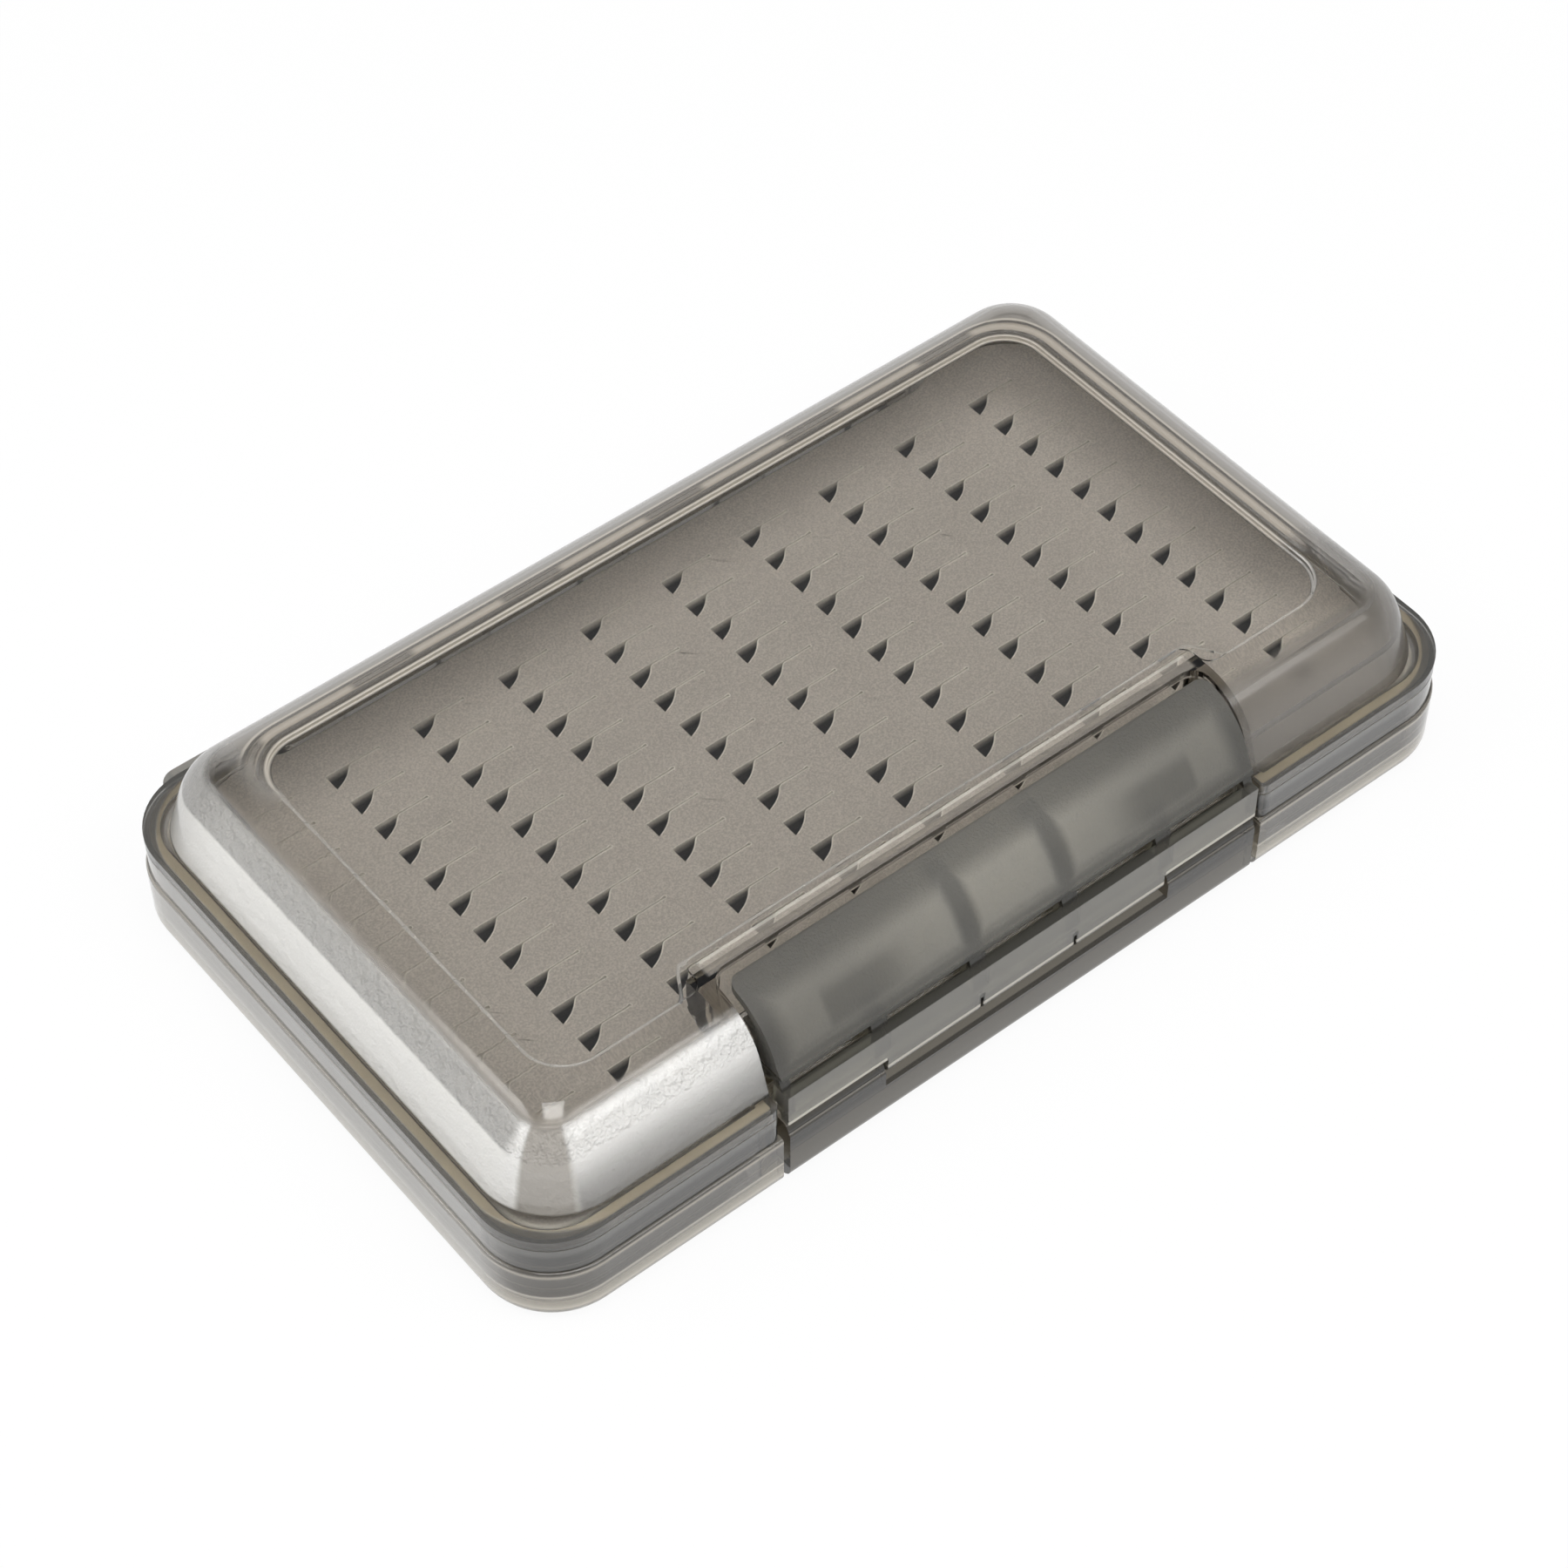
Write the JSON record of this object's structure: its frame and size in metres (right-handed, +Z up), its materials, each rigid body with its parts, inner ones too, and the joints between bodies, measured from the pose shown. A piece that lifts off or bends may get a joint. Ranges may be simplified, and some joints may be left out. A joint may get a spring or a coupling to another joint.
{
  "type": "fly box",
  "caption": "Slim pocket fly box: smoke-clear domed lid on a pinned back hinge, slit foam in a shallow tray, a seal in the lid flange and a rocking snap latch in a notch at the front.",
  "frame": {"origin": "centre of the rim outline in plan, on the underside the case stands on", "axes": "+X along the length, latch side towards -Y, hinge side towards +Y, +Z up through the lid"},
  "size_m": [0.1528, 0.0927, 0.0277],
  "materials": {
    "tray_plastic": "clear smoke-tinted moulded plastic, smooth",
    "adhesive_film": "thin pale adhesive film",
    "foam": "closed-cell foam, matte, fine grained",
    "pin_steel": "drawn stainless wire",
    "lid_plastic": "clear smoke-tinted moulded plastic, polished",
    "seal_rubber": "soft translucent silicone, yellowish",
    "latch_plastic": "smoke-tinted moulded plastic with a frosted flap"
  },
  "bodies": {
    "tray": {"base_tray": "tray_plastic", "foam_adhesive": "adhesive_film", "slit_foam": "foam", "hinge_pin": "pin_steel"},
    "lid": {"lid_cover": "lid_plastic", "lid_seal": "seal_rubber", "left_latch_pin": "pin_steel", "right_latch_pin": "pin_steel"},
    "snap_latch": {"latch": "latch_plastic"}
  },
  "joints": [
    {"name": "lid_hinge", "type": "hinge", "parent": "tray", "child": "lid", "pos_m": [0, 0.0449, 0.0133], "axis": [-1, 0, 0], "range_deg": [0, 108]},
    {"name": "latch_rock", "type": "hinge", "parent": "lid", "child": "snap_latch", "pos_m": [0, -0.0394, 0.0174], "axis": [-1, 0, 0], "range_deg": [0, 11]}
  ]
}
